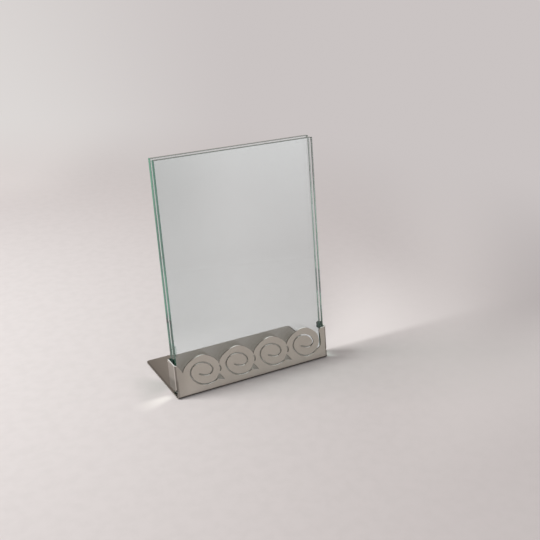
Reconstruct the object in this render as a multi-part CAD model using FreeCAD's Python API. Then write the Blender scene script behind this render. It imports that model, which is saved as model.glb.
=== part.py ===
import FreeCAD, Part
import math
import os

# Glass photo frame in a bent sheet-metal stand with a fretted wave border.
# Two glass panes stand in the stand and lean back, with the picture gap between them.
# Millimetres, +X to the viewer's right, +Y to the back, +Z up.
# The origin is the middle of the base plate's underside.
# Places on the leaning pieces are given as across (X), up (along the slant, from the
# sharp corner under the fold) and deep (behind the flap's outer face).

# Panes
pane_width = 130.0
pane_height = 180.0
pane_thickness = 4.0
pane_arris = 0.3
picture_gap = 2.2

# Play round the panes
side_play = 1.0
front_play = 0.2
holder_clearance = 0.1

# Bent sheet of the stand
sheet_thickness = 1.0
bend_radius = 2.0
lean_angle = 8.0
base_depth = 66.0
base_corner_radius = 2.5
base_inset = 0.7
flap_height = 27.2
tab_bottom_height = 5.6
notch_width = 1.2
notch_height = 7.2
notch_reach = 0.7

# Ear at the back edge of each tab
ear_reach = 1.6
ear_height = 4.4
ear_drop = 0.1

# Rubber holders
rubber_wall = 0.5
finger_reach = 1.6
finger_rise = 3.4
holder_inset = 0.2
lug_round = 1.0
finger_round = 0.6

# Wave border
wave_count = 4
wave_foot = 6.0
crest_rise = 3.8
first_valley_inset = 6.4
last_valley_inset = 7.6
slit_width = 1.3

# Overrun of every cut past the faces it goes through
overrun = 5.0

# Shares of one wave: the first counts along the pitch from the valley on its left,
# the second counts up from the foot of the border to the crest
valley_shares = (0.0, 0.58)
crest_shares = (
    (0.06, 0.73),
    (0.187, 0.86),
    (0.353, 0.96),
    (0.52, 1.0),
    (0.687, 0.952),
    (0.84, 0.83),
    (0.93, 0.724),
)
spiral_shares = (
    (0.903, 0.1),
    (0.76, 0.036),
    (0.61, 0.03),
    (0.453, 0.086),
    (0.287, 0.24),
    (0.195, 0.47),
    (0.253, 0.672),
    (0.437, 0.772),
    (0.62, 0.732),
    (0.773, 0.584),
    (0.803, 0.42),
    (0.72, 0.33),
    (0.59, 0.335),
    (0.437, 0.416),
)
slit_shares = (
    (0.008, 0.515),
    (0.032, 0.435),
    (0.016, 0.34),
)
wedge_top_shares = (-0.02, 0.275)
wedge_right_bulge_shares = (0.065, 0.15)
wedge_tip_shares = (0.13, 0.012)
wedge_floor_shares = (0.02, 0.05)
wedge_corner_shares = (-0.115, 0.105)
first_flank_shares = (
    (-0.083, 0.732),
    (-0.037, 0.652),
)
last_flank_shares = (
    (0.975, 0.62),
    (0.997, 0.5),
    (0.998, 0.4),
    (0.98, 0.31),
    (0.955, 0.25),
)
last_spiral_shares = (
    (0.937, 0.176),
    (0.85, 0.1),
    (0.74, 0.048),
    (0.61, 0.028),
) + spiral_shares[3:]
post_edge_shares = (
    (1.035, 0.235),
    (1.058, 0.34),
    (1.059, 0.46),
    (1.053, 0.567),
    (1.043, 0.674),
)
post_barb_shares = (1.02, 0.772)
post_top_share = 1.08

# Worked-out sizes
lean = math.radians(lean_angle)
stand_half = pane_width / 2 + side_play + sheet_thickness
base_half = stand_half - base_inset
tab_inner = stand_half - sheet_thickness
bend_start = stand_half - bend_radius
front_pane_deep = sheet_thickness + front_play
front_pane_back = front_pane_deep + pane_thickness
back_pane_deep = front_pane_back + picture_gap
back_pane_back = back_pane_deep + pane_thickness
lug_deep = back_pane_back + holder_clearance
ear_deep = lug_deep + rubber_wall
tab_depth = ear_deep + sheet_thickness
lug_back = tab_depth + rubber_wall
fold_run = bend_radius / math.tan((math.pi / 2 - lean) / 2)
corner_y = bend_radius - fold_run - base_depth / 2
tab_top_height = flap_height * math.cos(lean)
wave_crest = flap_height + crest_rise
wave_pitch = (2 * stand_half - first_valley_inset - last_valley_inset) / wave_count


def at(across, up, deep=0.0):
    """A point on the leaning pieces, in the flap's own flat frame."""
    return FreeCAD.Vector(across, up, -deep)


def lean_back(shape):
    """Turns a shape from the flap's flat frame to its place in the stand."""
    placed = shape.copy()
    placed.rotate(FreeCAD.Vector(), FreeCAD.Vector(1, 0, 0), 90.0 - lean_angle)
    placed.translate(FreeCAD.Vector(0, corner_y, 0))
    return placed


def between_heights(low, high):
    """A slab between two heights over the floor, wider than the stand."""
    reach = stand_half + base_depth
    slab = Part.makeBox(2 * reach, 2 * reach, high - low)
    slab.translate(FreeCAD.Vector(-reach, -reach, low))
    return slab


def line(start, end):
    return Part.LineSegment(start, end).toShape()


def arc(start, middle, end):
    return Part.Arc(start, middle, end).toShape()


def spline(points):
    curve = Part.BSplineCurve()
    curve.interpolate(points)
    return curve.toShape()


def block(across, up, deep):
    """A box in the flat frame from three pairs of limits."""
    box = Part.makeBox(across[1] - across[0], up[1] - up[0], deep[1] - deep[0])
    box.translate(at(across[0], up[0], deep[1]))
    return box


def plate(edges, deep, thickness):
    """A flat plate in the flat frame, with its front face at the given depth."""
    face = Part.Face(Part.Wire(edges))
    solid = face.extrude(FreeCAD.Vector(0, 0, -thickness))
    solid.translate(FreeCAD.Vector(0, 0, -deep))
    return solid


# Wave border

def valley_x(index):
    return -stand_half + first_valley_inset + index * wave_pitch


def on_wave(index, shares):
    """The point at these shares of wave number index."""
    along, rise = shares
    return at(valley_x(index) + along * wave_pitch, wave_foot + rise * (wave_crest - wave_foot))


def stroke_sides(points, width):
    """Points on both sides of a stroke along a curve, at half its width."""
    curve = Part.BSplineCurve()
    curve.interpolate(points)
    left = []
    right = []
    for point in points:
        run = curve.tangent(curve.parameter(point))[0]
        side = FreeCAD.Vector(-run.y, run.x, 0) * (width / 2)
        left.append(point + side)
        right.append(point - side)
    return left, right


def stroke_tip(points, width):
    """The outermost point of the stroke's round end, past the last point."""
    curve = Part.BSplineCurve()
    curve.interpolate(points)
    return points[-1] + curve.tangent(curve.LastParameter)[0] * (width / 2)


def stroke_edges(points, width):
    """The closed outline of a stroke with two round ends."""
    left, right = stroke_sides(points, width)
    end_tip = stroke_tip(points, width)
    start_tip = stroke_tip(points[::-1], width)
    return [
        spline(left),
        arc(left[-1], end_tip, right[-1]),
        spline(right[::-1]),
        arc(right[0], start_tip, left[0]),
    ]


def spiral_slot(index):
    centre = [on_wave(index, shares) for shares in spiral_shares]
    return plate(stroke_edges(centre, slit_width), -overrun, 2 * overrun)


def valley_slit(index):
    centre = [on_wave(index, shares) for shares in slit_shares]
    return plate(stroke_edges(centre, slit_width), -overrun, 2 * overrun)


def foam_wedge(index):
    """The three-cornered opening between two waves, under their valley."""
    top = on_wave(index, wedge_top_shares)
    tip = on_wave(index, wedge_tip_shares)
    corner = on_wave(index, wedge_corner_shares)
    edges = [
        arc(top, on_wave(index, wedge_right_bulge_shares), tip),
        arc(tip, on_wave(index, wedge_floor_shares), corner),
        line(corner, top),
    ]
    return plate(edges, -overrun, 2 * overrun)


def top_edges():
    """The flap's upper outline, from its left end to its right end."""
    start = at(-bend_start, flap_height)
    first_valley = on_wave(0, valley_shares)
    flank = [on_wave(0, shares) for shares in first_flank_shares]
    edges = [spline([start] + flank + [first_valley])]
    for index in range(wave_count - 1):
        crest = [on_wave(index, shares) for shares in crest_shares]
        next_valley = on_wave(index + 1, valley_shares)
        edges.append(spline([on_wave(index, valley_shares)] + crest + [next_valley]))
    return edges + last_wave_edges()


def last_wave_edges():
    """The last wave's crest, its spiral slot, open at the top, and the right post's edge."""
    last = wave_count - 1
    crest = [on_wave(last, shares) for shares in crest_shares + last_flank_shares]
    centre = [on_wave(last, shares) for shares in last_spiral_shares]
    outer, inner = stroke_sides(centre, slit_width)
    post = [on_wave(last, shares) for shares in post_edge_shares]
    barb = on_wave(last, post_barb_shares)
    post_top = at(valley_x(last) + post_top_share * wave_pitch, flap_height)
    return [
        spline([on_wave(last, valley_shares)] + crest + inner),
        arc(inner[-1], stroke_tip(centre, slit_width), outer[-1]),
        spline(outer[::-1] + post),
        line(post[-1], barb),
        line(barb, post_top),
        line(post_top, at(bend_start, flap_height)),
    ]


# Stand

def flap():
    """The leaning front flap, flat, with its border cut through."""
    corners = [
        at(bend_start, flap_height),
        at(bend_start, notch_height),
        at(base_half, notch_height),
        at(base_half, fold_run),
        at(-base_half, fold_run),
        at(-base_half, notch_height),
        at(-bend_start, notch_height),
        at(-bend_start, flap_height),
    ]
    sides = [line(start, end) for start, end in zip(corners, corners[1:])]
    body = plate(top_edges() + sides, 0.0, sheet_thickness)
    openings = [spiral_slot(index) for index in range(wave_count - 1)]
    for index in range(1, wave_count):
        openings.append(valley_slit(index))
        openings.append(foam_wedge(index))
    return body.cut(openings)


def tab(side):
    """One side tab with its bend, on the side -1 or +1, cut level at top and bottom."""
    diagonal = math.sqrt(0.5)
    inner_radius = bend_radius - sheet_thickness
    outer_mid = at(side * (bend_start + bend_radius * diagonal), 0.0, bend_radius * (1 - diagonal))
    inner_mid = at(side * (bend_start + inner_radius * diagonal), 0.0, bend_radius - inner_radius * diagonal)
    outer_start = at(side * bend_start, 0.0)
    outer_end = at(side * stand_half, 0.0, bend_radius)
    inner_start = at(side * tab_inner, 0.0, bend_radius)
    inner_end = at(side * bend_start, 0.0, sheet_thickness)
    back_outer = at(side * stand_half, 0.0, tab_depth)
    back_inner = at(side * tab_inner, 0.0, tab_depth)
    section = Part.Face(Part.Wire([
        arc(outer_start, outer_mid, outer_end),
        line(outer_end, back_outer),
        line(back_outer, back_inner),
        line(back_inner, inner_start),
        arc(inner_start, inner_mid, inner_end),
        line(inner_end, outer_start),
    ]))
    strip = section.extrude(FreeCAD.Vector(0, flap_height + tab_depth, 0))
    across = sorted((side * (bend_start - overrun), side * (stand_half + overrun)))
    strip = strip.cut(block(across, (-overrun, notch_height), (-overrun, bend_radius)))
    return lean_back(strip).common(between_heights(tab_bottom_height, tab_top_height))


def ear_top():
    """Slant height of the ear's upper edge, just under the tab's level top."""
    return (tab_top_height + ear_deep * math.sin(lean)) / math.cos(lean) - ear_drop


def ear(side):
    """The small ear folded in from the tab's back edge, which carries the lug."""
    across = sorted((side * (tab_inner - ear_reach), side * tab_inner))
    up = (ear_top() - ear_height, ear_top())
    return lean_back(block(across, up, (ear_deep, tab_depth)))


def relief_notch(side):
    """The round-ended notch between the bend of the tab and the fold strip below."""
    end = stand_half - notch_reach
    low = notch_height - notch_width / 2
    across = sorted((side * end, side * (stand_half + overrun)))
    slot = block(across, (low, low + notch_width), (-overrun, bend_radius))
    hole = Part.makeCylinder(notch_width / 2, overrun + bend_radius)
    hole.translate(at(side * end, notch_height, bend_radius))
    return lean_back(slot.fuse(hole))


def fold():
    """The rounded fold between the base plate and the flap."""
    centre = FreeCAD.Vector(-base_half, corner_y + fold_run, bend_radius)
    to_corner = (FreeCAD.Vector(-base_half, corner_y, 0) - centre).normalize()
    up_slant = FreeCAD.Vector(0, math.sin(lean), math.cos(lean))
    inward = FreeCAD.Vector(0, math.cos(lean), -math.sin(lean))
    inner_radius = bend_radius - sheet_thickness
    floor_outer = FreeCAD.Vector(-base_half, corner_y + fold_run, 0)
    floor_inner = floor_outer + FreeCAD.Vector(0, 0, sheet_thickness)
    flap_outer = FreeCAD.Vector(-base_half, corner_y, 0) + up_slant * fold_run
    flap_inner = flap_outer + inward * sheet_thickness
    section = Part.Face(Part.Wire([
        arc(floor_outer, centre + to_corner * bend_radius, flap_outer),
        line(flap_outer, flap_inner),
        arc(flap_inner, centre + to_corner * inner_radius, floor_inner),
        line(floor_inner, floor_outer),
    ]))
    return section.extrude(FreeCAD.Vector(2 * base_half, 0, 0))


def base_plate():
    """The flat base plate behind the fold, with two rounded back corners."""
    front = corner_y + fold_run
    plan = Part.makeBox(2 * base_half, base_depth / 2 - front, sheet_thickness)
    plan.translate(FreeCAD.Vector(-base_half, front, 0))
    uprights = []
    for edge in plan.Edges:
        middle = edge.CenterOfMass
        at_back = abs(middle.y - base_depth / 2) < base_inset
        at_side = abs(abs(middle.x) - base_half) < base_inset
        if at_back and at_side:
            uprights.append(edge)
    return plan.makeFillet(base_corner_radius, uprights)


def stand():
    pieces = [fold(), lean_back(flap())]
    for side in (-1, 1):
        pieces.append(tab(side))
        pieces.append(ear(side))
    whole = base_plate().fuse(pieces)
    whole = whole.cut([relief_notch(-1), relief_notch(1)])
    return whole.removeSplitter()


# Panes

def pane(deep):
    """One pane with its front face at this depth, standing on its back lower edge."""
    back = deep + pane_thickness
    foot = (sheet_thickness + (back - pane_arris) * math.sin(lean)) / math.cos(lean)
    across = (-pane_width / 2, pane_width / 2)
    body = block(across, (foot, foot + pane_height), (deep, back))
    return lean_back(body.makeChamfer(pane_arris, body.Edges))


# Rubber holders

def rounded_end(side, reach, low, high, radius, place):
    """Outline of a bar that reaches inwards from a tab and ends in two rounded corners."""
    root = side * tab_inner
    end = side * (tab_inner - reach)
    turn = end + side * radius
    nick = radius * (1 - math.sqrt(0.5))
    return [
        line(place(root, low), place(turn, low)),
        arc(place(turn, low), place(end + side * nick, low + nick), place(end, low + radius)),
        line(place(end, low + radius), place(end, high - radius)),
        arc(place(end, high - radius), place(end + side * nick, high - nick), place(turn, high)),
        line(place(turn, high), place(root, high)),
        line(place(root, high), place(root, low)),
    ]


def in_section(across, deep):
    """A point of a level section through the leaning pieces."""
    return at(across, 0.0, deep)


def lug(side):
    """The block behind the back pane, moulded over the ear."""
    low = ear_top() - ear_height - rubber_wall
    high = ear_top() + rubber_wall
    reach = ear_reach + rubber_wall
    edges = rounded_end(side, reach, low, high, lug_round, at)
    return lean_back(plate(edges, lug_deep, lug_back - lug_deep))


def finger(side):
    """The bar that stands in the picture gap and keeps the panes apart."""
    low = front_pane_back + holder_clearance
    high = back_pane_deep - holder_clearance
    edges = rounded_end(side, finger_reach, low, high, finger_round, in_section)
    bar = Part.Face(Part.Wire(edges)).extrude(FreeCAD.Vector(0, flap_height + finger_rise, 0))
    return lean_back(bar).common(between_heights(tab_bottom_height + holder_inset, flap_height + finger_rise))


def spine(side):
    """The thin web against the tab's inner face that joins the finger to the lug."""
    across = sorted((side * (tab_inner - rubber_wall), side * tab_inner))
    deep = (front_pane_back + holder_clearance, tab_depth)
    web = lean_back(block(across, (0.0, flap_height + finger_rise), deep))
    return web.common(between_heights(tab_bottom_height + holder_inset, tab_top_height - holder_inset))


def pane_holder(side):
    whole = lug(side).fuse([finger(side), spine(side)])
    return whole.cut(ear(side)).removeSplitter()


# Files

def one_solid(shape):
    """The shape's only solid."""
    assert len(shape.Solids) == 1 and shape.isValid()
    return shape.Solids[0]


nodes = {
    "stand": stand(),
    "front_pane": pane(front_pane_deep),
    "back_pane": pane(back_pane_deep),
    "left_pane_holder": pane_holder(-1),
    "right_pane_holder": pane_holder(1),
}

os.makedirs("parts", exist_ok=True)
for name, shape in nodes.items():
    one_solid(shape).exportStep("parts/" + name + ".step")
    box = shape.BoundBox
    sides = [round(length, 2) for length in (box.XLength, box.YLength, box.ZLength)]
    print(name, round(shape.Volume, 2), "mm3,", sides)
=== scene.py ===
# %% [markdown]
# # A clip frame for a picture: two glass panes in a folded steel stand
#
# This lesson gives the packed model its looks. The model already holds every real shape at
# its real size: a stand folded from one stainless sheet, two glass panes, and two small
# rubber holders that keep the panes apart. Nothing is moved or reshaped here. What Blender
# adds is the finish of each piece, a table to stand on, and soft daylight.

# %% Load the packed model
import math

import bpy
from mathutils import Matrix, Vector

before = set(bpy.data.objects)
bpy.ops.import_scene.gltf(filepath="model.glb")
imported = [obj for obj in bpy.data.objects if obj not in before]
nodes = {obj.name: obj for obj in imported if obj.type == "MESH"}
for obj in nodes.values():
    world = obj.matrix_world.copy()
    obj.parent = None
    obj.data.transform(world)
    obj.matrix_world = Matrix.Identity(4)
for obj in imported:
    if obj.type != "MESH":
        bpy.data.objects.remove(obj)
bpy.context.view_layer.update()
MM = 0.001


print("nodes:", ", ".join(sorted(nodes)))

# %% [markdown]
# ## The camera
#
# The photograph was taken from the left and a little above. Its lens and place were worked
# out from corners of the panes and the stand whose places are known. A camera can be aimed
# with a Track To constraint, but a matrix built from the three angles says exactly what the
# view is, so that is what is used: one angle for the turn, one for the tilt, one for the roll.

# %% Place the camera
FRAME_PIXELS = 540
FOCAL_PIXELS = 849.77
SENSOR_MM = 36.0
CAMERA_PLACE = Vector((-0.272656, -0.546571, 0.345736))
TURN, TILT, ROLL = (math.radians(angle) for angle in (29.086, 23.522, -0.244))

level_ahead = Vector((math.sin(TURN), math.cos(TURN), 0.0))
ahead = level_ahead * math.cos(TILT) - Vector((0.0, 0.0, math.sin(TILT)))
level_right = Vector((math.cos(TURN), -math.sin(TURN), 0.0))
level_up = level_right.cross(ahead)
right = level_right * math.cos(ROLL) + level_up * math.sin(ROLL)
up = level_up * math.cos(ROLL) - level_right * math.sin(ROLL)

camera_data = bpy.data.cameras.new("photo_camera")
camera_data.sensor_width = SENSOR_MM
camera_data.lens = FOCAL_PIXELS * SENSOR_MM / FRAME_PIXELS
camera_data.clip_start, camera_data.clip_end = 0.01, 60.0
camera = bpy.data.objects.new("photo_camera", camera_data)
bpy.context.scene.collection.objects.link(camera)
turned = Matrix((right, up, -ahead)).transposed().to_4x4()
camera.matrix_world = Matrix.Translation(CAMERA_PLACE) @ turned
bpy.context.scene.camera = camera
bpy.context.scene.view_settings.view_transform = "Standard"
print("lens in mm:", round(camera_data.lens, 2))

# %% [markdown]
# ## A short way to write shader maths
#
# Materials here follow the shape: the ends of a pane differ from its faces, and the cut edges
# of the sheet differ from its rolled faces. Each such rule is a sum on numbers that change
# over the surface. Placing Math nodes one by one hides the sum, so a small class wraps a
# node's output and lets Python's own signs add the nodes. One method adds every other node.


# %% Wrap a socket
class Number:
    """An output of a node. Signs between it and another value add Math nodes."""

    def __init__(self, recipe, socket):
        self.recipe = recipe
        self.socket = socket

    def sum(self, operation, *others):
        sockets = dict(enumerate((self, *others)))
        return self.recipe.add("ShaderNodeMath", {"operation": operation}, sockets)

    def __add__(self, other):
        return self.sum("ADD", other)

    def __sub__(self, other):
        return self.sum("SUBTRACT", other)

    def __rsub__(self, other):
        return self.sum("MULTIPLY", -1.0) + other

    def __mul__(self, other):
        return self.sum("MULTIPLY", other)

    def __truediv__(self, other):
        return self.sum("DIVIDE", other)

    def __abs__(self):
        return self.sum("ABSOLUTE")

    def most(self, other):
        return self.sum("MAXIMUM", other)

    __radd__ = __add__
    __rmul__ = __mul__


print("signs that add nodes: + - * /, abs() and .most()")

# %% [markdown]
# ## One recipe for each material
#
# A material's node tree is emptied and written anew. One method adds a node of any kind, sets
# it up and fills its sockets. The others name what is used again and again, such as how far a
# place lies along a direction, a soft step from 0 to 1, or a mix of two colours. Where such a
# step starts and where it is full is a pair of values, handed over with a star, as in *FADE.


# %% Write a node tree
class Recipe:
    """A material's or the world's node tree, emptied and ready to be written."""

    def __init__(self, owner):
        owner.use_nodes = True
        self.tree = owner.node_tree
        self.tree.nodes.clear()

    def add(self, kind, settings=None, sockets=None, out=0):
        """Adds one node, sets it up, fills its sockets, and gives back one of its outputs."""
        node = self.tree.nodes.new(kind)
        for name, value in (settings or {}).items():
            setattr(node, name, value)
        for name, value in (sockets or {}).items():
            if isinstance(value, Number):
                self.tree.links.new(value.socket, node.inputs[name])
            else:
                node.inputs[name].default_value = value
        return Number(self, node.outputs[out]) if len(node.outputs) else node

    def vector_sum(self, operation, *vectors):
        """Vector maths that gives a number: DOT_PRODUCT, DISTANCE or LENGTH."""
        sockets = dict(enumerate(vectors))
        return self.add("ShaderNodeVectorMath", {"operation": operation}, sockets, out="Value")

    def place(self):
        return self.add("ShaderNodeTexCoord", out="Object")

    def facing(self):
        return self.add("ShaderNodeTexCoord", out="Normal")

    def ray(self, kind):
        """1 for rays of this kind, such as "Is Camera Ray", and 0 for all others."""
        return self.add("ShaderNodeLightPath", out=kind)

    def along(self, vector, direction):
        """How far a place lies, or how much a normal points, along a direction."""
        return self.vector_sum("DOT_PRODUCT", vector, direction)

    def step(self, number, low, high):
        """0 below low, 1 above high, and a smooth rise between them."""
        sockets = {"Value": number, "From Min": low, "From Max": high}
        return self.add("ShaderNodeMapRange", {"interpolation_type": "SMOOTHSTEP"}, sockets)

    def band(self, number, start, full, fading, end):
        """Rises from start to full, stays at 1, and falls from fading to end."""
        return self.step(number, start, full) * (1 - self.step(number, fading, end))

    def stretch_of(self, number, low, high):
        """1 between low and high, with short soft ends, and 0 outside them."""
        soft = 1.5 * MM
        return self.band(number, low, low + soft, high - soft, high)

    def noise(self, vector, scale, detail=2.0):
        sockets = {"Vector": vector, "Scale": scale, "Detail": detail}
        return self.add("ShaderNodeTexNoise", {}, sockets)

    def colour(self, share, first, second):
        sockets = {0: share, 6: first, 7: second}
        return self.add("ShaderNodeMix", {"data_type": "RGBA"}, sockets, out=2)

    def bump(self, height, distance, strength):
        sockets = {"Height": height, "Distance": distance, "Strength": strength}
        return self.add("ShaderNodeBump", {}, sockets)

    def surface(self, **sockets):
        """A Principled shader. A name such as Base_Color stands for the socket Base Color."""
        named = {name.replace("_", " "): value for name, value in sockets.items()}
        return self.add("ShaderNodeBsdfPrincipled", {}, named)

    def mix(self, share, first, second):
        return self.add("ShaderNodeMixShader", {}, {0: share, 1: first, 2: second})

    def finish(self, surface, kind="ShaderNodeOutputMaterial"):
        self.add(kind, {}, {"Surface": surface})


def finish_node(name, material):
    """Gives a node of the packed model its new material. Its mesh stays as it is."""
    for slot in nodes[name].material_slots:
        slot.material = material
    print(name, "is finished in", material.name)


print("a recipe can write:", ", ".join(name for name in vars(Recipe) if not name.startswith("_")))

# %% [markdown]
# ## Directions on the frame
#
# The front flap and the panes lean back by the same angle. Heights along that slant and
# depths into it are counted from the line where the base plate folds up into the flap.

# %% Name the directions
X, Y, Z = (1.0, 0.0, 0.0), (0.0, 1.0, 0.0), (0.0, 0.0, 1.0)
LEAN = math.radians(8.0)
UP_THE_SLANT = (0.0, math.sin(LEAN), math.cos(LEAN))
INTO_THE_SLANT = (0.0, math.cos(LEAN), -math.sin(LEAN))
FOLD_LINE = Vector((0.0, -33.3007 * MM, 0.0))
SLANT_START = FOLD_LINE.dot(UP_THE_SLANT)
DEPTH_START = FOLD_LINE.dot(INTO_THE_SLANT)
print("the slant starts", round(-SLANT_START / MM, 2), "mm before the fold line")

# %% [markdown]
# ## The table
#
# The frame stands on a large sheet of pale matt paper. One plane would do as a shape. It is
# made as a small disc and pushed out at its rim in edit mode, so that it reaches past every
# view.

# %% Lay the table
DISC_RADIUS, RIM_WIDTH, RIM_PUSH = 1.5, 1.2, 12
bpy.ops.object.select_all(action="DESELECT")
bpy.ops.mesh.primitive_circle_add(
    vertices=96, radius=DISC_RADIUS, fill_type="NGON", location=(0, 0, 0)
)
table = bpy.context.object
table.name = table.data.name = "table"
bpy.ops.object.mode_set(mode="EDIT")
bpy.ops.mesh.select_all(action="SELECT")
bpy.ops.mesh.inset(thickness=RIM_WIDTH)
bpy.ops.mesh.select_all(action="SELECT")
bpy.ops.mesh.region_to_loop()
bpy.ops.mesh.extrude_edges_move()
bpy.ops.transform.resize(value=(RIM_PUSH, RIM_PUSH, 1), center_override=(0, 0, 0))
bpy.ops.mesh.select_all(action="SELECT")
bpy.ops.mesh.normals_make_consistent(inside=False)
bpy.ops.object.mode_set(mode="OBJECT")
print("table:", len(table.data.polygons), "faces,", round(max(table.dimensions), 1), "m wide")

# %% [markdown]
# ## The colour of the paper
#
# Real paper is never one colour: its fibres scatter a little, and it is faintly mottled. The light
# also falls off over it, and that falloff is painted: the tone starts as a pale warm grey that
# darkens away from the brightest place. A slow drift and small soft spots are laid over it.

# %% Start the paper's tone
# the brightest place, the dimming and the two paper tones make a painted light falloff
BRIGHTEST_PLACE = (-0.30, 0.15, 0.0)
DIMMING = (0.02, 0.62)
BRIGHT_PAPER, DIM_PAPER = (0.830, 0.801, 0.801, 1), (0.584, 0.544, 0.545, 1)
DRIFT_TONE, SPOT_TONE = (0.680, 0.655, 0.640, 1), (0.350, 0.345, 0.325, 1)

paper = bpy.data.materials.new("matt_paper")
recipe = Recipe(paper)
place = recipe.place()
away = recipe.vector_sum("DISTANCE", place, BRIGHTEST_PLACE)
drift = recipe.noise(place, 1.6)
spots = recipe.step(recipe.noise(place, 110.0, 5.0), 0.35, 0.70)
# painted light falloff: darker away from the brightest place
tone = recipe.colour(recipe.step(away, *DIMMING), BRIGHT_PAPER, DIM_PAPER)
tone = recipe.colour(drift * 0.15, tone, DRIFT_TONE)
tone = recipe.colour(spots * 0.06, tone, SPOT_TONE)
print("the paper is brightest at", BRIGHTEST_PLACE)

# %% [markdown]
# ## Light thrown on the paper
#
# Glass and steel throw light on a table: here a broad soft wedge runs out at the right, and a
# small gleam lies at each foot. Tracing such light takes a very long render and leaves grain.
# So these patches are painted, as paler colour in soft wedges, and so is the shade beside the
# base. Each wedge is given by its point, its direction, how far it reaches, how fast it opens
# on its left and right, its strength, and its tone.

# %% Paint the wedges
SOFT_EDGE = 4.0 * MM
WEDGES = {
    "light from the pane ends": (
        ((0.061, -0.0205, 0), (1.0, 0.06, 0), 0.230, 1.0, 0.08),
        0.75,
        (0.880, 0.845, 0.840, 1),
    ),
    "light from the right tab": (
        ((0.058, -0.025, 0), (1.0, -0.12, 0), 0.064, 0.2, 0.3),
        0.55,
        (0.960, 0.935, 0.925, 1),
    ),
    "shade beside the base": (
        ((-0.060, -0.010, 0), (-1.0, 0.15, 0), 0.038, 0.7, 0.7),
        0.80,
        (0.560, 0.560, 0.545, 1),
    ),
    "light from the left tab": (
        ((-0.0655, -0.025, 0), (-1.0, -0.20, 0), 0.038, 0.14, 0.18),
        0.85,
        (0.950, 0.930, 0.905, 1),
    ),
}


def wedge(point, direction, reach, left, right):
    """1 inside a soft wedge on the table, which fades out at its reach, and 0 outside it."""
    forward = Vector(direction).normalized()
    leftward = Vector((-forward.y, forward.x, 0.0))
    run = recipe.along(place, forward) - Vector(point).dot(forward)
    beside = recipe.along(place, leftward) - Vector(point).dot(leftward)
    past_left = recipe.step(beside, run * (0.25 * left), run * (1.5 * left) + SOFT_EDGE)
    past_right = recipe.step(beside * -1.0, run * (0.5 * right), run * (1.5 * right) + SOFT_EDGE)
    lengthwise = recipe.band(run, 0.0, 2 * SOFT_EDGE, 0.25 * reach, reach)
    return lengthwise * (1 - past_left) * (1 - past_right)


for title, (shape, strength, wedge_tone) in WEDGES.items():
    tone = recipe.colour(wedge(*shape) * strength, tone, wedge_tone)
    print("painted:", title)

# %% [markdown]
# ## Darker and paler parts of the paper
#
# The room lights the paper unevenly too. It is darker far off at the right, paler far off at
# the left and paler again in front at the right. A lamp for each would change the light on
# the frame, so these parts are painted in the paper, with wide soft edges.

# %% Paint the uneven light
TO_FAR_RIGHT, FAR_RIGHT_REACH, FAR_RIGHT_DEPTH = (0.72, -0.69, 0.0), (0.145, 0.268), (-0.13, -0.03)
TO_FAR_LEFT, FAR_LEFT_REACH, FAR_LEFT_AWAY = (-0.874, 0.486, 0.0), (0.19, 0.32), (0.36, 0.52)
TO_FRONT, FRONT_REACH, FRONT_DEPTH = (0.8, -0.6, 0.0), (0.10, 0.19), (-0.23, -0.14)
FAR_RIGHT_TONE, FAR_LEFT_TONE = (0.351, 0.325, 0.327, 1), (0.790, 0.755, 0.745, 1)
FRONT_TONE = (0.715, 0.682, 0.677, 1)

depth = recipe.along(place, Y)
far_right = recipe.step(recipe.along(place, TO_FAR_RIGHT), *FAR_RIGHT_REACH)
far_right = far_right * recipe.step(depth, *FAR_RIGHT_DEPTH)
far_left = recipe.step(recipe.along(place, TO_FAR_LEFT), *FAR_LEFT_REACH)
far_left = far_left * recipe.step(away, *FAR_LEFT_AWAY)
right_front = recipe.step(recipe.along(place, TO_FRONT), *FRONT_REACH)
right_front = right_front * (1 - far_right) * recipe.step(depth, *FRONT_DEPTH)
tone = recipe.colour(far_right * 0.8, tone, FAR_RIGHT_TONE)
tone = recipe.colour(far_left * 0.45, tone, FAR_LEFT_TONE)
tone = recipe.colour(right_front * 0.5, tone, FRONT_TONE)
print("the paper's tone takes", len(recipe.tree.nodes), "nodes")

# %% [markdown]
# ## Where the table ends
#
# Far from the frame the paper fades into a plain pale tone, so that no edge of the table
# shows. That tone gives light to no diffuse surface: only the camera, the glass and mirror
# rays see it. At the photograph's angle the panes mirror the table far in front on the right.
# There the real room has a pale wall, and so mirror rays meet a brighter tone there.

# %% Fade the table out
VIEW_RIGHT = (0.874, -0.486, 0.0)
IN_FRONT = (0.45, -0.89, 0.0)
FRONT_WALL = (1.32, 1.29, 1.27, 1)
WALL_START = 0.70
FADE, LEFT_TO_RIGHT = (0.40, 0.90), (-0.5, 0.0)
PALE_LEFT, PALE_RIGHT = (0.720, 0.690, 0.675, 1), (0.590, 0.550, 0.545, 1)
BLACK = (0.0, 0.0, 0.0, 1)

fibre = recipe.noise(place, 2400.0, 3.0)
surface = recipe.surface(
    Base_Color=tone,
    Roughness=0.9,
    Specular_IOR_Level=0.25,
    Normal=recipe.bump(fibre, 0.02 * MM, 0.3),
)
from_middle = recipe.vector_sum("LENGTH", place)
beyond = recipe.step(recipe.along(place, VIEW_RIGHT) / from_middle, *LEFT_TO_RIGHT)
pale_tone = recipe.colour(beyond, PALE_LEFT, PALE_RIGHT)
mirror_ray = recipe.ray("Is Glossy Ray")
toward_wall = recipe.along(place, IN_FRONT).most(WALL_START)
mirrored_wall = (toward_wall - WALL_START) / toward_wall * mirror_ray
pale_tone = recipe.colour(mirrored_wall, pale_tone, FRONT_WALL)
haze = recipe.surface(
    Base_Color=BLACK, Specular_IOR_Level=0.0, Emission_Color=pale_tone, Emission_Strength=1.0
)
seen = recipe.ray("Is Camera Ray").most(mirror_ray).most(recipe.ray("Is Transmission Ray"))
recipe.finish(recipe.mix(recipe.step(away, *FADE) * seen, surface, haze))
table.data.materials.append(paper)
print("table is finished in", paper.name)

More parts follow.
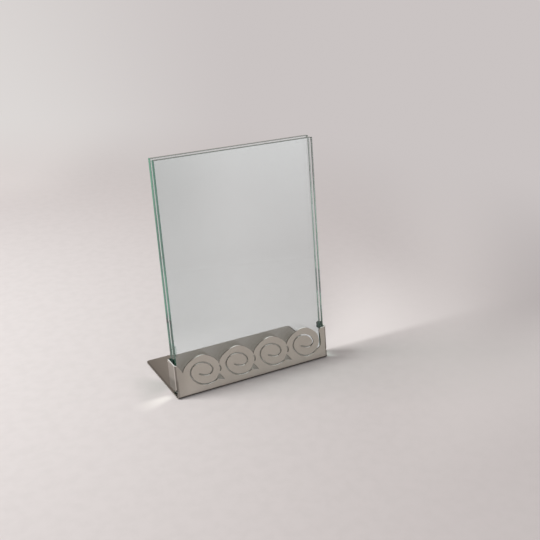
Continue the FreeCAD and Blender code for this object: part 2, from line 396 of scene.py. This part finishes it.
# %% [markdown]
# ## The window
#
# Daylight comes through a window on the left, a little behind the frame: the shadow runs to
# the right and slowly goes soft. A sun lamp would cut that shadow too sharply, so the window
# is a large square area lamp. It is hidden from mirror rays: it would leave a white glare on
# the base plate.

# %% Hang the window
WINDOW_PLACE = Vector((-2.95, 1.10, 2.25))
LIT_PLACE = Vector((0, 0, 0.03))
lamp = bpy.data.lights.new("window", "AREA")
lamp.shape = "SQUARE"
lamp.size = 1.7
lamp.energy = 140.0
lamp.color = (1.0, 0.985, 0.97)
window = bpy.data.objects.new("window", lamp)
bpy.context.scene.collection.objects.link(window)
window.location = WINDOW_PLACE
window.rotation_euler = (LIT_PLACE - WINDOW_PLACE).to_track_quat("-Z", "Y").to_euler()
window.visible_glossy = False
print("window:", lamp.energy, "W over", round(lamp.size, 1), "m")

# %% [markdown]
# ## The room
#
# The rest of the room is the world: brightest on the window's side, dimmer behind and above,
# which is what the steel mirrors, with the pale wall low in front. What the camera sees past
# the table's edge is plain and pale.

# %% Light the room
SIDE_WALLS, WINDOW_WALL = (0.22, 0.215, 0.215, 1), (0.60, 0.59, 0.58, 1)
BACK_WALL = (0.31, 0.280, 0.265, 1)
TO_BACK_WALL = (0.3, 0.85, 0.43)

world = bpy.data.worlds.new("room")
bpy.context.scene.world = world
recipe = Recipe(world)
direction = recipe.add("ShaderNodeTexCoord", out="Generated")
to_window = recipe.step(recipe.along(direction, X) * -1.0, -0.6, 0.9)
to_back = recipe.step(recipe.along(direction, TO_BACK_WALL), 0.2, 0.95)
in_front = recipe.step(recipe.along(direction, IN_FRONT), 0.70, 0.97)
in_front = in_front * (1 - recipe.step(recipe.along(direction, Z), 0.05, 0.40))
walls = recipe.colour(to_window, SIDE_WALLS, WINDOW_WALL)
walls = recipe.colour(to_back, walls, BACK_WALL)
walls = recipe.colour(in_front * 0.8, walls, FRONT_WALL)
room = recipe.add("ShaderNodeBackground", {}, {"Color": walls, "Strength": 1.25})
beyond = recipe.step(recipe.along(direction, VIEW_RIGHT), *LEFT_TO_RIGHT)
pale_tone = recipe.colour(beyond, PALE_LEFT, PALE_RIGHT)
pale = recipe.add("ShaderNodeBackground", {}, {"Color": pale_tone, "Strength": 1.0})
seen = recipe.ray("Is Camera Ray").most(recipe.ray("Is Transmission Ray"))
recipe.finish(recipe.mix(seen, room, pale), "ShaderNodeOutputWorld")
print("room:", len(recipe.tree.nodes), "nodes")

# %% [markdown]
# ## Rolled faces, cut edges and bends
#
# The stand is cut and folded from one millimetre of stainless sheet, so its faces, its cut
# edges and its bends look different. They needn't be picked by hand: a rolled face of the
# flap points along the slant, one of a tab points sideways, and one of the base plate points
# up or down. What points another way is a cut edge, and what lies in between is a bend.

# %% Tell the parts of the sheet apart
ABOVE_FOLD, ABOVE_PLATE = (1.2 * MM, 3.0 * MM), (3.0 * MM, 4.0 * MM)
BEHIND_FLAP, AT_TABS = (-22.0 * MM, -20.0 * MM), (64.8 * MM, 65.2 * MM)

steel = bpy.data.materials.new("satin_stainless")
recipe = Recipe(steel)
place, facing = recipe.place(), recipe.facing()
height = recipe.along(place, Z)
side = recipe.along(place, X)
slant = recipe.along(place, UP_THE_SLANT) - SLANT_START

on_flap = recipe.step(height, *ABOVE_FOLD)
near_table = 1 - recipe.step(height, *ABOVE_PLATE)
near_front = 1 - recipe.step(recipe.along(place, Y), *BEHIND_FLAP)
near_side = recipe.step(abs(side), *AT_TABS)
rolled = abs(recipe.along(facing, INTO_THE_SLANT)) * near_front
rolled = rolled.most(abs(recipe.along(facing, X)) * near_side)
rolled = rolled.most(abs(recipe.along(facing, Z)) * near_table)
cut = 1 - recipe.step(rolled, 0.35, 0.6)
bent = (1 - recipe.step(rolled, 0.80, 0.985)) * (1 - cut)
print("sheet:", len(recipe.tree.nodes), "nodes tell its parts apart")

# %% [markdown]
# ## Grain and painted light in the steel
#
# The faces keep the fine straight grain of the rolling mill, which runs along the front flap
# and goes round the bends, and cloudy patches a few centimetres wide. The cut edges have no
# grain: they are slightly rougher, and darker, partly as the dull face of the cut and partly as
# painted shade in the slots. Where they face straight up they carry a painted highlight. Each
# upright bend carries a painted reflection of a bright and then a dark part of the room, as two
# thin streaks, and the lower side of the long fold is painted dark, as the shade of its gap
# above the table. The lower part of each tab carries a painted reflection of the darker floor.
# A picture of steel could be wrapped round it, but a pattern worked out from the place of each
# point needs no unwrapping and never shows a seam.

# %% Draw the grain and the painted streaks
ALONG_GRAIN, ACROSS_GRAIN = 45.0, 2600.0
LOW_ON_FLAP, LOW_ON_TABS = (3.0 * MM, 15.0 * MM), (15.0 * MM, 19.0 * MM)
AT_LEFT_END, CLOUD_REACH = (-66.0 * MM, -54.0 * MM), 4.0 * MM

across = slant * on_flap + recipe.along(place, Y) * (1 - on_flap)
grain_place = recipe.add(
    "ShaderNodeCombineXYZ",
    {},
    {
        "X": side * ALONG_GRAIN,
        "Y": across * ACROSS_GRAIN,
        "Z": recipe.along(place, INTO_THE_SLANT) * ALONG_GRAIN,
    },
)
grain = recipe.noise(grain_place, 1.0, 4.0)
cloud = recipe.noise(place, 38.0, 3.0)
smudge = recipe.step(recipe.noise(place, 95.0, 4.0), 0.52, 0.72)

to_front = recipe.along(facing, INTO_THE_SLANT) * -1.0
# painted reflections on each upright bend: a bright streak, then a dark one
painted_bright_streak = recipe.band(to_front, 0.04, 0.16, 0.34, 0.50) * near_front * (1 - cut)
painted_dark_streak = recipe.band(to_front, 0.44, 0.60, 0.90, 0.985) * (1 - cut)
# painted shade on the lower side of the long fold
painted_fold_shade = recipe.step(recipe.along(facing, Z) * -1.0, 0.03, 0.40) * near_front * (1 - cut)
# painted highlight on the cut edges that face straight up
painted_glint = recipe.step(recipe.along(facing, UP_THE_SLANT), 0.90, 0.99) * cut
# the flap's low band is painted paler and the sheet's left end painted darker, in the layers below
low = 1 - recipe.step(slant, *LOW_ON_FLAP)
left_end = 1 - recipe.step(side, *AT_LEFT_END)
# painted reflection of the darker floor on the lower part of each tab
painted_tab_reflection = near_side * (1 - recipe.step(slant + cloud * CLOUD_REACH, *LOW_ON_TABS))
print("streaks, shade and grain:", len(recipe.tree.nodes), "nodes so far")

# %% [markdown]
# ## Stainless sheet
#
# The tone is built up in layers, as paint would be: each line lays one colour over the ones
# before it, by a share that says where and how strongly. The colours are those of the metal
# as it stands in this room. The cloud and the grain are the metal's own, and the cut edges
# partly so. The paler bends and low band of the flap, the darker left end and tabs, the darker
# lower part of the tabs, the two bend streaks, the painted highlight on up-facing cut edges and
# the dark below the long fold are painted light and shade.

# %% Mix the stainless finish
tone = recipe.colour(cloud, (0.488, 0.456, 0.405, 1), (0.551, 0.519, 0.466, 1))
STEEL_LAYERS = (
    (grain * 0.35, (0.450, 0.422, 0.373, 1)),
    # painted highlight: the flap's bends are paler
    (bent * 0.5 * on_flap, (0.590, 0.560, 0.510, 1)),
    # painted reflection of the bright table: the flap's low band is paler
    (low * (1 - near_side) * 0.25, (0.580, 0.552, 0.516, 1)),
    # painted shade: the left end of the sheet is darker
    (left_end * 0.7, (0.390, 0.362, 0.322, 1)),
    # painted shade: the tabs are darker
    (near_side * 0.8, (0.440, 0.408, 0.368, 1)),
    # painted reflection of the darker floor on the lower part of the tabs
    (painted_tab_reflection * 0.8, (0.270, 0.248, 0.220, 1)),
    # painted reflections on the upright bends: a bright streak and a dark streak
    (painted_bright_streak * on_flap * 0.8, (0.780, 0.745, 0.705, 1)),
    (painted_dark_streak * on_flap * 0.65, (0.140, 0.125, 0.112, 1)),
    # the cut edges are darker: partly their own dull cut, partly painted shade in the slots
    (cut, (0.230, 0.208, 0.182, 1)),
    # painted highlight on the cut edges that face straight up
    (painted_glint, (0.980, 0.970, 0.950, 1)),
    # painted shade below the long fold
    (painted_fold_shade * 0.9, (0.060, 0.048, 0.044, 1)),
)
for share, layer in STEEL_LAYERS:
    tone = recipe.colour(share, tone, layer)
dull = 0.33 + grain * 0.10 + cloud * 0.06 + smudge * 0.05 - bent * 0.07 + cut * 0.10
surface = recipe.surface(
    Base_Color=tone,
    # the painted highlight also makes those cut edges less metallic
    Metallic=1 - painted_glint * 0.7,
    Roughness=dull,
    Normal=recipe.bump(grain * (1 - cut), 0.012 * MM, 0.5),
)
recipe.finish(surface)
finish_node("stand", steel)

# %% [markdown]
# ## The polished ends of the glass
#
# Each pane is four millimetres of clear float glass. Seen through its face it is almost
# colourless. Seen at its ends it is deep green, because that light has come through the
# whole width of the pane. Tracing such light needs dozens of bounces inside the pane and
# stays grainy. So the ends and the ground corners are a glossy green body, chosen by which
# way each face points.
#
# The paler and darker stretches on the ends are painted reflections of the room, and so is the
# darker top of the far ends. The darkest stretches show only where an end is seen aslant, which
# a Layer Weight node tells: seen straight on they would look like tape. Below the top of the
# rubber each end is painted dark, as the shade of the rubber, and seen aslant that painted
# shade reaches a little higher. A stretch is counted up the slant. The rise starts from a pane's
# foot, the rear half from its front, and the painted shade by the rubber from the top of its
# rubber.

# %% Mix the ends of a pane
GLASS_IOR = 1.52
PALE_STRETCH = (62.0 * MM, 72.0 * MM, 92.0 * MM, 112.0 * MM)
BLACK_STRETCH, LOW_STRETCH = (58.5 * MM, 63.5 * MM), (41.0 * MM, 43.0 * MM)
FAR_DARK_STRETCH, FAR_HIGH_STRETCH = (56.0 * MM, 76.0 * MM), (125.0 * MM, 158.0 * MM)
FAR_HALF = (0.0, 10.0 * MM)
RISE_START, RISE_FULL = 105.0 * MM, 180.0 * MM
REAR_START, REAR_FULL = 1.2 * MM, 3.6 * MM
RUBBER_BELOW, RUBBER_ABOVE = 1.2 * MM, 0.8 * MM


def end_body(recipe, place, facing, slant, pane):
    """The green body at the ends and corners of a pane, with its painted reflections and shade."""
    corner = recipe.step(abs(recipe.along(facing, INTO_THE_SLANT)), 0.30, 0.50)
    upright = recipe.step(abs(recipe.along(facing, X)), 0.30, 0.50)
    depth = recipe.along(place, INTO_THE_SLANT) - DEPTH_START
    rear = recipe.step(depth, pane["front"] + REAR_START, pane["front"] + REAR_FULL)
    rising = recipe.step(slant, pane["foot"] + RISE_START, pane["foot"] + RISE_FULL)
    # painted reflections: a paler stretch, and dark stretches where the end is seen aslant
    pale = recipe.band(slant, *PALE_STRETCH)
    layer_weight = recipe.add("ShaderNodeLayerWeight", {}, {"Blend": 0.5}, out="Facing")
    aslant = recipe.step(layer_weight, 0.25, 0.50)
    shaded = recipe.stretch_of(slant, *pane["shaded"]) * aslant
    black = recipe.stretch_of(slant, *BLACK_STRETCH) * aslant
    # painted reflections on the far ends, with a dark stretch seen aslant
    far_end = recipe.step(recipe.along(place, X), *FAR_HALF)
    far_dark = recipe.stretch_of(slant, *FAR_DARK_STRETCH) * aslant
    # painted shade of the rubber, reaching higher where the end is seen aslant
    rubber_top = pane["rubber_top"]
    rubber_shade = 1 - recipe.step(slant, rubber_top - RUBBER_BELOW, rubber_top + RUBBER_ABOVE)
    rubber_shade = rubber_shade.most(aslant * (1 - recipe.step(slant, *LOW_STRETCH)))
    streak_place = recipe.add(
        "ShaderNodeMapping", {}, {"Vector": place, "Scale": (900.0, 900.0, 14.0)}
    )
    streak = recipe.noise(streak_place, 1.0, 3.0)
    cloud = recipe.noise(place, 42.0)

    # the far ends' tones, with a painted dark reflection high up and in a stretch
    far_low, far_high = (0.150, 0.225, 0.190, 1), (0.050, 0.047, 0.040, 1)
    far_tone = recipe.colour(recipe.step(slant, *FAR_HIGH_STRETCH), far_low, far_high)
    far_tone = recipe.colour(far_dark * 0.9, far_tone, (0.015, 0.022, 0.030, 1))
    tone = recipe.colour(rising, pane["low_tone"], pane["high_tone"])
    for share, layer in (
        (cloud * 0.6, (0.012, 0.062, 0.048, 1)),
        (streak * 0.25, (0.060, 0.190, 0.135, 1)),
        (rear * 0.4, (0.100, 0.310, 0.215, 1)),
        # painted reflections: the paler stretch, the dark stretch and the black stretch
        (pale * 0.45, (0.110, 0.300, 0.215, 1)),
        (shaded * 0.85, (0.004, 0.036, 0.025, 1)),
        (black, (0.002, 0.004, 0.004, 1)),
        (1 - upright, (0.330, 0.340, 0.325, 1)),
        (corner * 0.7, (0.130, 0.190, 0.170, 1)),
        # painted reflections on the far ends
        (far_end * upright * 0.85, far_tone),
        # painted shade of the rubber
        (rubber_shade, (0.018, 0.062, 0.040, 1)),
    ):
        tone = recipe.colour(share, tone, layer)
    return recipe.surface(
        Base_Color=tone,
        Roughness=0.08 + streak * 0.10,
        IOR=GLASS_IOR,
        Specular_IOR_Level=0.25,
        Transmission_Weight=0.2,
    )


print("glass bends light by", GLASS_IOR)

# %% [markdown]
# ## The faces of the glass
#
# The faces are true refracting glass. They carry a faint grey painted shade over their left
# side, which fades to the right, and just above the rubber the left edge of each face carries a
# painted green-grey shade. Refracting glass would keep the window's light off the table, or
# take a very long render, so light on its way to the table goes through the faces nearly whole
# and loses more at the ends. That way the frame keeps its long thin shadow.

# %% Mix the faces of a pane
THROUGH_FACE, THROUGH_END = (0.945, 0.962, 0.955, 1), (0.45, 0.56, 0.52, 1)
CLEAR_TINT, LEFT_SHADE_TINT = (0.935, 0.969, 0.974, 1), (0.838, 0.872, 0.876, 1)
FINGER_SHADE_TINT = (0.520, 0.640, 0.600, 1)
LEFT_SHADE_ACROSS, LEFT_SHADE_START = (-68.0 * MM, 4.0 * MM), (36.0 * MM, 58.0 * MM)
LEFT_SHADE_DEEPENS = (85.0 * MM, 160.0 * MM)
FINGER_SHADE_ACROSS, FINGER_STRETCH = (-63.6 * MM, -63.0 * MM), (33.0 * MM, 43.5 * MM)


def clear_face(recipe, place, slant):
    """Clear glass with painted shade over its left side and at its left edge just above the
    rubber.
    """
    side = recipe.along(place, X)
    # painted shade over the left of each face, from above the rubber and deeper higher up
    left_shade = (1 - recipe.step(side, *LEFT_SHADE_ACROSS)) * recipe.step(slant, *LEFT_SHADE_START)
    left_shade = left_shade * (0.60 + recipe.step(slant, *LEFT_SHADE_DEEPENS) * 0.40)
    # painted shade at the left edge of each face, just above the rubber
    finger_shade = 1 - recipe.step(side, *FINGER_SHADE_ACROSS)
    finger_shade = finger_shade * recipe.stretch_of(slant, *FINGER_STRETCH)
    tint = recipe.colour(left_shade, CLEAR_TINT, LEFT_SHADE_TINT)
    tint = recipe.colour(finger_shade, tint, FINGER_SHADE_TINT)
    return recipe.surface(Base_Color=tint, Roughness=0.0, IOR=GLASS_IOR, Transmission_Weight=1.0)


def make_glass(name, pane):
    glass = bpy.data.materials.new(name)
    recipe = Recipe(glass)
    place, facing = recipe.place(), recipe.facing()
    slant = recipe.along(place, UP_THE_SLANT) - SLANT_START
    end = 1 - recipe.step(abs(recipe.along(facing, INTO_THE_SLANT)), 0.90, 0.99)
    clear = clear_face(recipe, place, slant)
    body = end_body(recipe, place, facing, slant, pane)
    through_face = recipe.add("ShaderNodeBsdfTransparent", {}, {"Color": THROUGH_FACE})
    through_end = recipe.add("ShaderNodeBsdfTransparent", {}, {"Color": THROUGH_END})
    for_light = recipe.ray("Is Shadow Ray").most(recipe.ray("Is Diffuse Ray"))
    seen = recipe.mix(end, clear, body)
    lit = recipe.mix(end, through_face, through_end)
    recipe.finish(recipe.mix(for_light, seen, lit))
    return glass


print("green light kept by a face:", THROUGH_FACE[1], "and by an end:", THROUGH_END[1])

# %% [markdown]
# ## Two panes
#
# The panes are alike, but each one's ends have their own tones and their own dark stretch,
# and the rubber reaches up to another height. So one function makes both, from a few values:
# where the pane's foot and front lie along the slant and into it, and what differs above.

# %% Finish the panes
FRONT_PANE = {
    "foot": 1.7 * MM,
    "front": 1.2 * MM,
    "low_tone": (0.011, 0.080, 0.056, 1),
    "high_tone": (0.040, 0.160, 0.110, 1),
    "shaded": (43.0 * MM, 60.0 * MM),
    "rubber_top": 33.0 * MM,
}
BACK_PANE = {
    "foot": 2.6 * MM,
    "front": 7.4 * MM,
    "low_tone": (0.016, 0.088, 0.062, 1),
    "high_tone": (0.130, 0.370, 0.245, 1),
    "shaded": (58.5 * MM, 62.5 * MM),
    "rubber_top": 30.3 * MM,
}
finish_node("front_pane", make_glass("front_glass", FRONT_PANE))
finish_node("back_pane", make_glass("back_glass", BACK_PANE))

# %% [markdown]
# ## Black rubber
#
# The two holders are moulded in soft black rubber. Rubber is matt, but its colour is not zero.
# Both of its tones carry a painted green reflection of the green pane ends around it. A moulded
# skin shows fine pits and slightly paler high spots. The pits are a bump from a fine noise, far
# smaller than the piece, and a slower noise dulls and lightens it.

# %% Mix the rubber
# both tones carry a painted green reflection of the pane ends
RUBBER_DARK, RUBBER_PALE = (0.004, 0.018, 0.014, 1), (0.012, 0.042, 0.032, 1)
rubber = bpy.data.materials.new("moulded_rubber")
recipe = Recipe(rubber)
place = recipe.place()
pits = recipe.noise(place, 3800.0, 3.0)
bloom = recipe.noise(place, 420.0, 3.0)
surface = recipe.surface(
    Base_Color=recipe.colour(recipe.step(bloom, 0.4, 0.75), RUBBER_DARK, RUBBER_PALE),
    Roughness=0.50 + bloom * 0.25,
    Specular_IOR_Level=0.4,
    Normal=recipe.bump(pits, 0.03 * MM, 0.6),
)
recipe.finish(surface)
for holder in ("left_pane_holder", "right_pane_holder"):
    finish_node(holder, rubber)

# %% [markdown]
